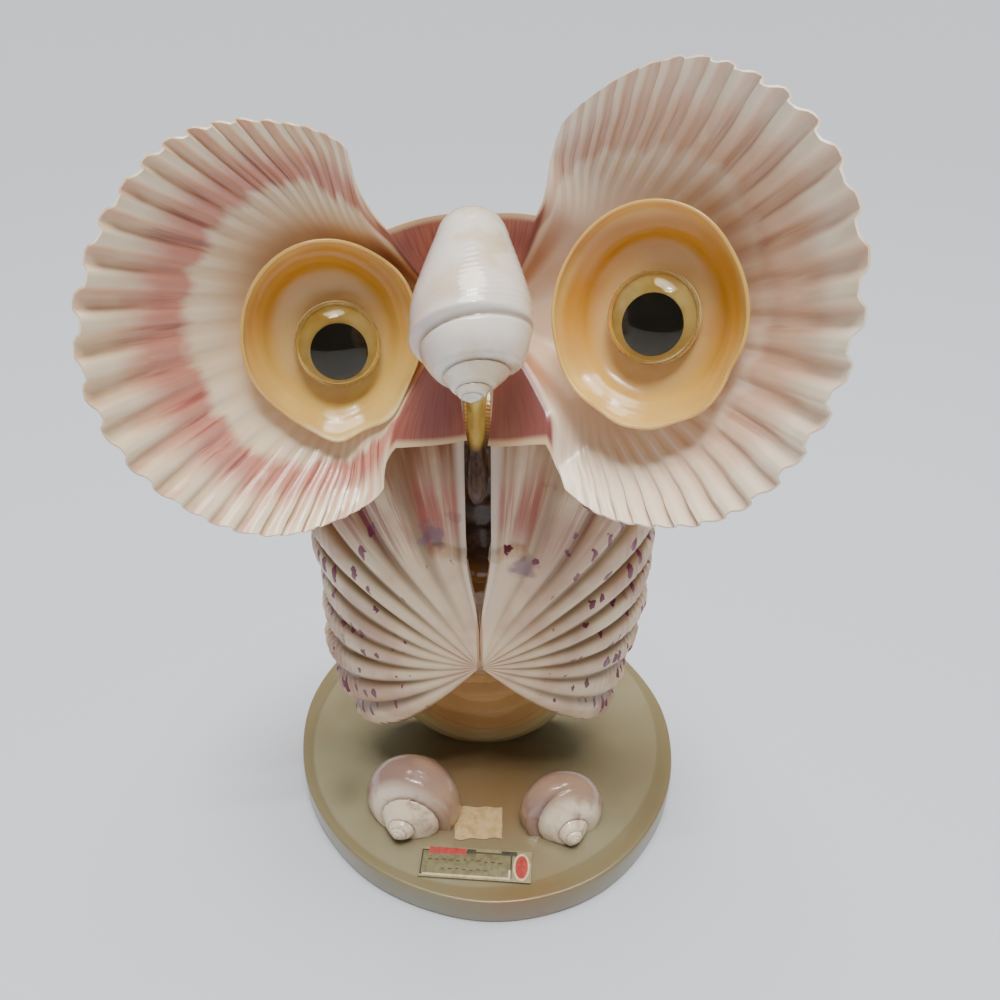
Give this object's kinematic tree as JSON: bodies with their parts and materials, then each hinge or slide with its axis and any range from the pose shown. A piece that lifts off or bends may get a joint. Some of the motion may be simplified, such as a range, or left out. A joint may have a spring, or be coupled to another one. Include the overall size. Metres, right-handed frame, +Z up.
{
  "type": "seashell owl figurine",
  "caption": "Owl made of real seashells on a clear resin disc: scallops for the head, amber cups with googly eyes, a snail shell beak and feet, ribbed clam valves for wings.",
  "frame": {"origin": "centre of the base's flat underside", "axes": "+Z up, the owl faces -Y, +X to the viewer's right"},
  "size_m": [0.1084, 0.1136, 0.1776],
  "materials": {
    "resin": "clear, aged olive amber, glossy",
    "scallop_shell": "cream with pink dashes, soft gloss",
    "clam_shell": "cream with purple-brown spots, lacquered",
    "amber_shell": "thin pearly amber, glossy",
    "snail_shell": "white to lilac, glossy",
    "eye_plastic": "clear, yellowed",
    "eye_card": "yellowed white",
    "pupil_plastic": "charcoal black",
    "glue": "yellowed, glossy",
    "label_paper": "printed, worn"
  },
  "bodies": {
    "root": {"resin_base": "resin", "body_shell": "amber_shell", "souvenir_label": "label_paper", "hinge_glue": "glue", "foot_shell_left": "snail_shell", "foot_shell_right": "snail_shell", "beak_shell": "snail_shell", "wing_shell_left": "clam_shell", "wing_shell_right": "clam_shell", "head_scallop_left": "scallop_shell", "head_scallop_right": "scallop_shell", "eye_cup_left": "amber_shell", "eye_cup_right": "amber_shell", "eye_backing_left": "eye_card", "eye_backing_right": "eye_card", "eye_dome_left": "eye_plastic", "eye_dome_right": "eye_plastic", "eye_pupil_left": "pupil_plastic", "eye_pupil_right": "pupil_plastic"}
  },
  "joints": []
}
